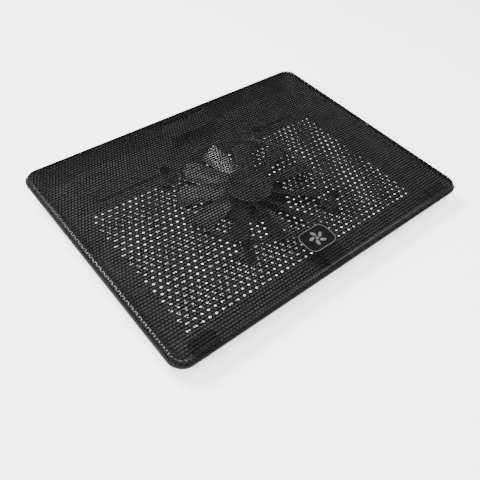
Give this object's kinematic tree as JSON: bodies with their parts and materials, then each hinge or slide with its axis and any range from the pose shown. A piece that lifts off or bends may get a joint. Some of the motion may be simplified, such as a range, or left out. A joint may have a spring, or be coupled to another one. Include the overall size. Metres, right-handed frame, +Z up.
{
  "type": "laptop cooling pad",
  "caption": "Slim laptop cooling pad: a perforated metal top on a vented plastic tray with one large low fan, a rear USB hub board, and fold-out rear legs.",
  "frame": {"origin": "middle of the footprint, on the surface the pad stands on", "axes": "+X right, +Y towards the rear edge with the sockets, +Z up"},
  "size_m": [0.39, 0.284, 0.028],
  "materials": {
    "tray_plastic": "fine moulded texture, satin",
    "mesh_metal": "black powder coat, satin",
    "fan_frame_plastic": "moulded, satin",
    "impeller_plastic": "smoke grey, slightly translucent, glossy",
    "rubber_black": "matte",
    "badge_black": "glossy black",
    "badge_silver": "satin silver",
    "screw_steel": "zinc plated",
    "socket_steel": "bright nickel plate",
    "socket_plastic": "black",
    "plug_nylon": "black nylon",
    "board_laminate": "black solder-masked board",
    "parts_black": "moulded component bodies",
    "copper_wire": "enamelled copper",
    "core_steel": "stamped laminations",
    "magnet_ferrite": "bonded ferrite",
    "bearing_bronze": "sintered bronze",
    "lead_sleeve": "black sleeve",
    "clip_steel": "blackened spring steel"
  },
  "bodies": {
    "pad": {"base_tray": "tray_plastic", "leg_wells": "tray_plastic", "top_mesh_panel": "mesh_metal", "mesh_clips": "clip_steel", "front_grip_pads": "rubber_black", "badge_plate": "badge_black", "badge_trim": "badge_silver", "support_columns": "tray_plastic", "column_pads": "rubber_black", "mount_screws": "screw_steel", "fan_frame": "fan_frame_plastic", "bearing_housing": "fan_frame_plastic", "motor_bearing": "bearing_bronze", "motor_board": "board_laminate", "stator_core": "core_steel", "stator_coils": "copper_wire", "fan_lead": "lead_sleeve", "lead_clips": "tray_plastic", "lead_plug": "plug_nylon", "lead_socket": "plug_nylon", "hub_board": "board_laminate", "hub_cover": "tray_plastic", "board_screws": "screw_steel", "board_parts": "parts_black", "usb_socket_shell": "socket_steel", "usb_socket_tongue": "socket_plastic", "power_inlet_shell": "socket_steel", "power_inlet_tongue": "socket_plastic", "switch_body": "parts_black", "leg_pins": "screw_steel", "base_feet": "rubber_black"},
    "fan_rotor": {"impeller": "impeller_plastic", "rotor_yoke": "core_steel", "rotor_magnet": "magnet_ferrite", "rotor_shaft": "screw_steel"},
    "left_leg": {"left_leg": "tray_plastic", "left_leg_grip": "rubber_black"},
    "right_leg": {"right_leg": "tray_plastic", "right_leg_grip": "rubber_black"},
    "power_switch": {"switch_knob": "socket_plastic"}
  },
  "joints": [
    {"name": "fan_spin", "type": "hinge", "parent": "pad", "child": "fan_rotor", "pos_m": [0, -0.0043, 0.0145], "axis": [0, 0, 1], "continuous": true},
    {"name": "left_leg_hinge", "type": "hinge", "parent": "pad", "child": "left_leg", "pos_m": [-0.105, 0.121, 0.0056], "axis": [1, 0, 0], "range_deg": [0, 105]},
    {"name": "right_leg_hinge", "type": "hinge", "parent": "pad", "child": "right_leg", "pos_m": [0.105, 0.121, 0.0056], "axis": [1, 0, 0], "range_deg": [0, 105]},
    {"name": "power_switch_slide", "type": "slide", "parent": "pad", "child": "power_switch", "axis": [1, 0, 0], "range_m": [0, 0.002]}
  ]
}
